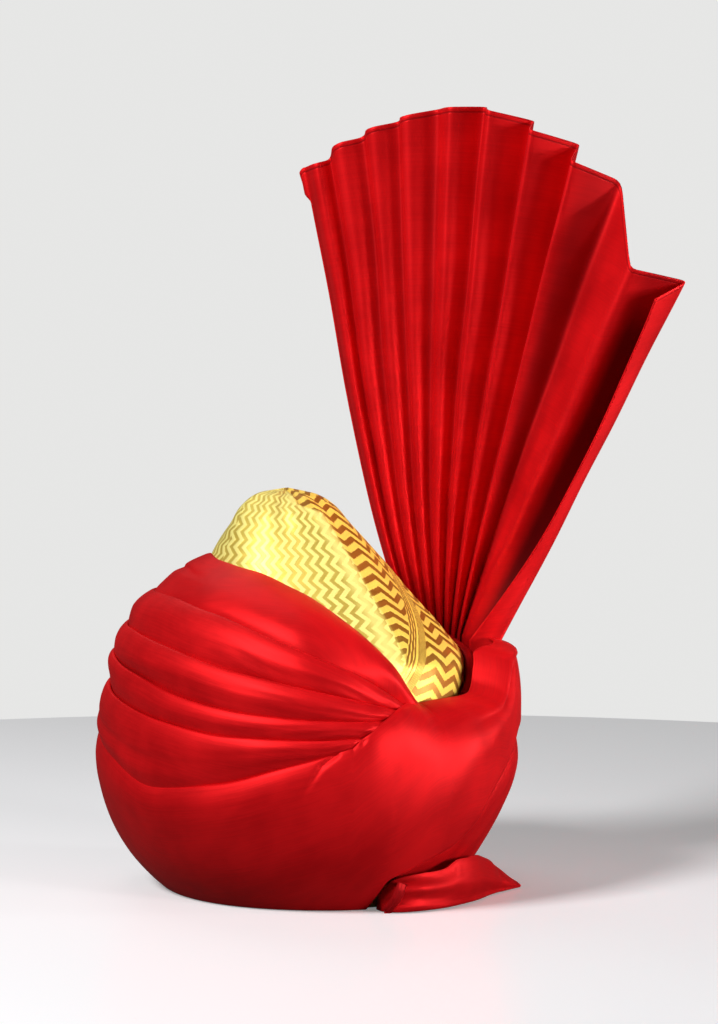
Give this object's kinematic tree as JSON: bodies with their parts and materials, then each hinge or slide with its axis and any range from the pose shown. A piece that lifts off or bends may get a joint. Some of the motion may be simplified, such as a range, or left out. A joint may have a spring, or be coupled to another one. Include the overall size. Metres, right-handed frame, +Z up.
{
  "type": "tied turban pagri",
  "caption": "Tied wedding pagri: brocade cap wound with satin folds, with a tall pleated fan and a free tail end.",
  "frame": {"origin": "middle of the whole outline seen from above, on the plane that the rim stands on", "axes": "+Z up, -Y toward the wearer's front, +X toward the wearer's left"},
  "size_m": [0.3274, 0.2994, 0.5002],
  "materials": {
    "satin_red": "smooth red satin with a soft sheen",
    "brocade_gold": "gold zari brocade with zigzag stripes and a lined border"
  },
  "bodies": {
    "root": {"kulla_cap": "brocade_gold", "side_fold_1": "satin_red", "side_fold_2": "satin_red", "side_fold_3": "satin_red", "side_fold_4": "satin_red", "side_fold_5": "satin_red", "front_wrap": "satin_red", "inner_layer": "satin_red", "turra_fan": "satin_red", "tail_end": "satin_red", "tail_loop": "satin_red"}
  },
  "joints": []
}
